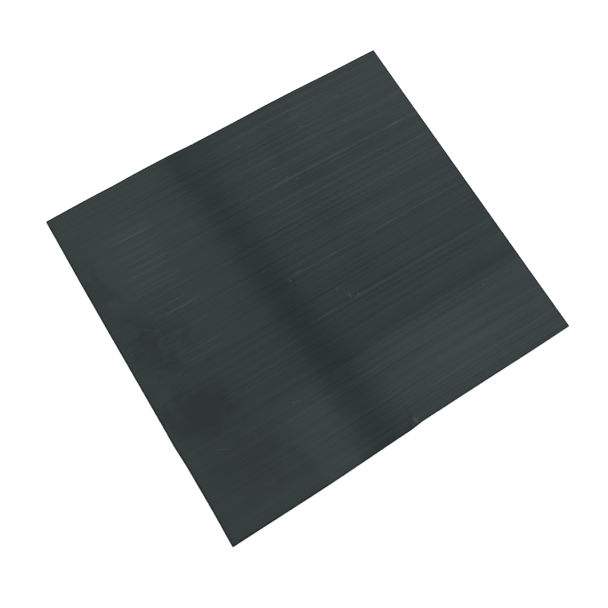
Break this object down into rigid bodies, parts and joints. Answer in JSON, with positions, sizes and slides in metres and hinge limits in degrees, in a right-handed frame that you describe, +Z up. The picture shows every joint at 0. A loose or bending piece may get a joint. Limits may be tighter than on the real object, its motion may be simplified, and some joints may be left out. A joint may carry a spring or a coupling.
{
  "type": "seedling heat mat",
  "caption": "Thin, flat, nearly square waterproof mat with a printed heating film between vinyl covers, and a flush two-pin inlet in its rear edge.",
  "frame": {"origin": "middle of the underside, on the bench that the mat lies on", "axes": "+X along the wide side, to the right seen from the front; +Y towards the rear edge, which holds the inlet; +Z up, out of the face that carries the trays"},
  "size_m": [0.52, 0.48, 0.004],
  "materials": {
    "vinyl_top": "satin",
    "vinyl_bottom": "matte",
    "edge_vinyl": "matte",
    "foam": "matte",
    "bonding_film": "matte",
    "foil": "satin",
    "heater_film": "gloss",
    "adhesive": "satin",
    "carbon_ink": "matte",
    "silver_ink": "matte",
    "copper": "satin",
    "tinned_brass": "satin",
    "sleeve_red": "satin",
    "sleeve_black": "satin",
    "inlet_plastic": "satin",
    "silicone": "matte",
    "screw_steel": "satin",
    "carrier_plastic": "satin",
    "contact_gold": "polished",
    "strap_brass": "satin",
    "cutout_plastic": "satin",
    "bimetal": "satin"
  },
  "bodies": {
    "mat": {"top_cover": "vinyl_top", "bottom_cover": "vinyl_bottom", "edge_strip_front": "edge_vinyl", "edge_strip_left": "edge_vinyl", "edge_strip_right": "edge_vinyl", "edge_strip_rear_left": "edge_vinyl", "edge_strip_rear_right": "edge_vinyl", "foam_pad": "foam", "bonding_film": "bonding_film", "heat_spreader_foil": "foil", "heater_top_film": "heater_film", "heater_base_film": "heater_film", "laminating_adhesive": "adhesive", "carbon_stripes": "carbon_ink", "silver_strips": "silver_ink", "busbar_left": "copper", "busbar_right": "copper", "busbar_eyelets": "tinned_brass", "lug_left": "tinned_brass", "lug_right": "tinned_brass", "wire_core_left": "copper", "wire_core_right": "copper", "wire_sleeve_left": "sleeve_black", "wire_sleeve_right": "sleeve_red", "inlet_housing": "inlet_plastic", "inlet_lid": "inlet_plastic", "lid_gasket": "silicone", "lid_screws": "screw_steel", "wire_grommets": "silicone", "pin_carrier": "carrier_plastic", "contact_pin_left": "contact_gold", "contact_pin_right": "contact_gold", "link_strap": "strap_brass", "cutout_case": "cutout_plastic", "cutout_lid": "cutout_plastic", "cutout_contact_terminal": "strap_brass", "cutout_anchor_terminal": "strap_brass"},
    "blade": {"cutout_blade": "bimetal"}
  },
  "joints": [
    {"name": "cutout_opening", "type": "hinge", "parent": "mat", "child": "blade", "pos_m": [0.0185, 0.219, 0.00165], "axis": [0, 1, 0], "range_deg": [0, 4], "stiffness_Nm_per_rad": 0.003, "springref_deg": -5.73}
  ]
}
